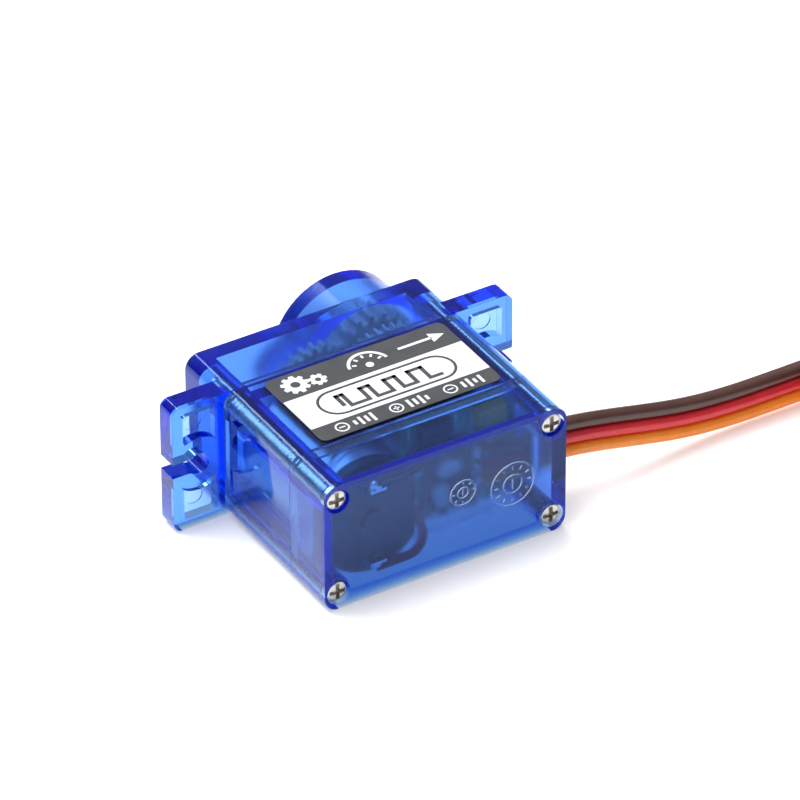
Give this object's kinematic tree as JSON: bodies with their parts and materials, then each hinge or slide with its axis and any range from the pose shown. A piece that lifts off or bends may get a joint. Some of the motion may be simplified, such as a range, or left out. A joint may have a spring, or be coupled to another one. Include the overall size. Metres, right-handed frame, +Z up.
{
  "type": "hobby servo motor",
  "caption": "Micro hobby servo: clear blue case with two mounting ears, splined output shaft, visible motor, gear train and board, and a flat wire lead with a plug.",
  "frame": {"origin": "centre of the servo's footprint, lead left out, on its lower broad side", "axes": "+X along the mounting ears, towards the side the lead leaves; +Y along the output shaft, from the bottom cover to the spline; +Z up, across the case's thickness"},
  "size_m": [0.0902, 0.0407, 0.0122],
  "materials": {
    "clear_blue_plastic": "gloss",
    "case_screw": "satin",
    "label_film": "satin",
    "shaft_steel": "gloss",
    "pinion_brass": "satin",
    "gear_nylon": "satin",
    "motor_can_steel": "satin",
    "motor_cap_plastic": "satin",
    "bush_brass": "satin",
    "magnet_ferrite": "matte",
    "tinned_metal": "satin",
    "core_steel": "satin",
    "copper": "gloss",
    "pot_plastic": "satin",
    "pot_track_carbon": "matte",
    "wiper_bronze": "satin",
    "board_green": "satin",
    "chip_black": "satin",
    "capacitor_yellow": "satin",
    "capacitor_tan": "satin",
    "grommet_black": "satin",
    "wire_orange": "satin",
    "wire_red": "satin",
    "wire_brown": "satin",
    "wire_black": "satin",
    "tie_black": "satin",
    "plug_black": "satin",
    "contact_gold": "gloss"
  },
  "bodies": {
    "case": {"bottom_cover": "clear_blue_plastic", "middle_case": "clear_blue_plastic", "top_cover": "clear_blue_plastic", "case_screw_1": "case_screw", "case_screw_2": "case_screw", "case_screw_3": "case_screw", "case_screw_4": "case_screw", "label": "label_film", "gear_pin": "shaft_steel", "motor_can": "motor_can_steel", "motor_end_cap": "motor_cap_plastic", "motor_front_bush": "bush_brass", "magnet_upper": "magnet_ferrite", "magnet_lower": "magnet_ferrite", "brush_lug_upper": "tinned_metal", "brush_lug_lower": "tinned_metal", "pot_pin_1": "tinned_metal", "pot_pin_2": "tinned_metal", "pot_pin_3": "tinned_metal", "pot_body": "pot_plastic", "pot_track": "pot_track_carbon", "circuit_board": "board_green", "control_chip": "chip_black", "driver_chip": "chip_black", "resistor_1": "chip_black", "resistor_2": "chip_black", "tantalum_capacitor": "capacitor_yellow", "ceramic_capacitor": "capacitor_tan", "cord_grommet": "grommet_black", "inner_wire_orange": "wire_orange", "wire_orange": "wire_orange", "tail_orange": "wire_orange", "inner_wire_red": "wire_red", "wire_red": "wire_red", "tail_red": "wire_red", "motor_lead_red": "wire_red", "inner_wire_brown": "wire_brown", "wire_brown": "wire_brown", "tail_brown": "wire_brown", "wire_hank": "wire_brown", "motor_lead_black": "wire_black", "hank_tie": "tie_black", "plug_housing": "plug_black", "plug_contact_1": "contact_gold", "plug_contact_2": "contact_gold", "plug_contact_3": "contact_gold"},
    "output": {"output_gear": "gear_nylon", "pot_shaft": "pot_plastic", "pot_wiper": "wiper_bronze"},
    "third_gear": {"gear_3": "gear_nylon"},
    "second_gear": {"gear_2": "gear_nylon"},
    "first_gear": {"gear_1": "gear_nylon"},
    "rotor": {"motor_pinion": "pinion_brass", "motor_shaft": "shaft_steel", "armature_core": "core_steel", "armature_winding_1": "copper", "armature_winding_2": "copper", "armature_winding_3": "copper", "commutator": "copper"}
  },
  "joints": [
    {"name": "output_turn", "type": "hinge", "parent": "case", "child": "output", "pos_m": [0.00525, 0, 0.00605], "axis": [0, 1, 0], "range_deg": [-90, 90]},
    {"name": "third_gear_turn", "type": "hinge", "parent": "case", "child": "third_gear", "pos_m": [-0.00075, 0, 0.00605], "axis": [0, 1, 0], "range_deg": [-248, 248]},
    {"name": "second_gear_turn", "type": "hinge", "parent": "case", "child": "second_gear", "pos_m": [0.00525, 0, 0.00605], "axis": [0, 1, 0], "range_deg": [-653, 653]},
    {"name": "first_gear_turn", "type": "hinge", "parent": "case", "child": "first_gear", "pos_m": [-0.00075, 0, 0.00605], "axis": [0, 1, 0], "range_deg": [-2828, 2828]},
    {"name": "rotor_turn", "type": "hinge", "parent": "case", "child": "rotor", "pos_m": [-0.00588, 0, 0.00605], "axis": [0, 1, 0], "range_deg": [-15081, 15081]}
  ],
  "couplings": [
    {"joint": "third_gear_turn", "follows": "output_turn", "ratio": -2.75},
    {"joint": "second_gear_turn", "follows": "output_turn", "ratio": 7.25},
    {"joint": "first_gear_turn", "follows": "output_turn", "ratio": -31.417},
    {"joint": "rotor_turn", "follows": "output_turn", "ratio": 167.56}
  ]
}
